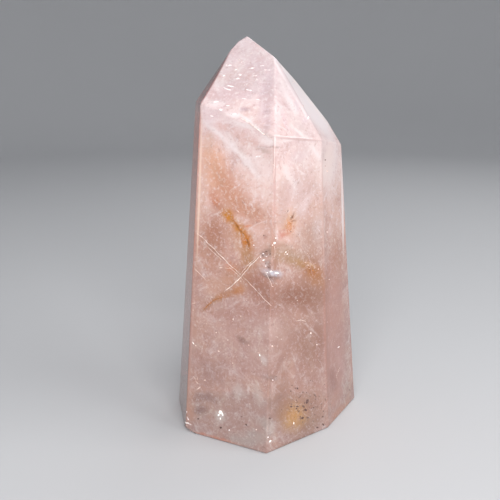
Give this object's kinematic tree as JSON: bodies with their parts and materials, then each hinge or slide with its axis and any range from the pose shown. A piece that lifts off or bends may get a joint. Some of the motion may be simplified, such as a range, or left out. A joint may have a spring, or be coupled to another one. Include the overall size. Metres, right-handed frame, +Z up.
{
  "type": "rose quartz point",
  "caption": "Polished rose quartz tower: an uneven seven-sided prism that narrows upwards to an off-centre faceted tip and stands on a flat sawn foot.",
  "frame": {"origin": "middle of the sawn foot: the centre of the bounding box in X and Y, at its lowest Z", "axes": "+Z up through the tip, +X to the right and +Y to the back when the front arris is looked at"},
  "size_m": [0.0505, 0.0479, 0.1003],
  "materials": {
    "rose_quartz": "clear hand polish on translucent, milky pale pink quartz with white veils, inner cracks and orange-brown iron stains"
  },
  "bodies": {
    "root": {"rose_quartz_point": "rose_quartz"}
  },
  "joints": []
}
